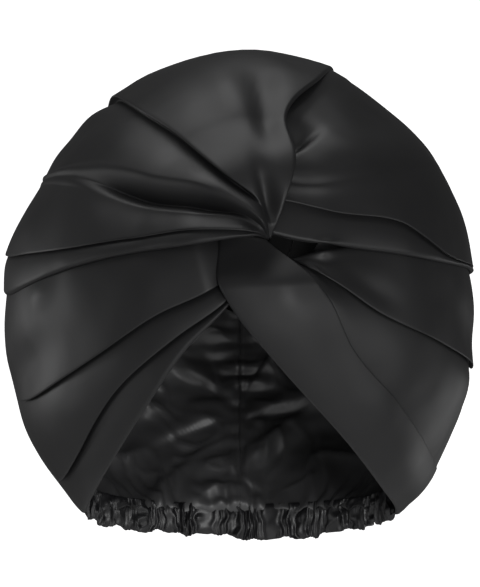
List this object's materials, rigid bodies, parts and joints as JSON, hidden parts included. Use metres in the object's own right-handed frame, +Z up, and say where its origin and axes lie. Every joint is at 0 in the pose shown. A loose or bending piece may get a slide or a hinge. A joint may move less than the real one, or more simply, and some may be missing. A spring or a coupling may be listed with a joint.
{
  "type": "turban headwrap",
  "caption": "Pre-tied satin turban that covers the hair, with a twisted knot at the front, pleats that fan round to the back, a V-shaped face opening and a ruffled elastic band at the nape.",
  "frame": {"origin": "middle of the opening for the head: on the median plane, halfway between front and back, level with the nape band's lowest edge", "axes": "+X to the viewer's right when the turban is seen from the front, -Y out of the front, +Z up"},
  "size_m": [0.2541, 0.2534, 0.2633],
  "materials": {
    "satin_outer": "black satin with a soft sheen",
    "satin_back": "black satin, glossier on its inside",
    "satin_casing": "black satin ruffled over elastic"
  },
  "bodies": {
    "root": {"left_wrap": "satin_outer", "right_wrap": "satin_outer", "back_panel_left": "satin_back", "back_panel_right": "satin_back", "nape_band": "satin_casing"}
  },
  "joints": []
}
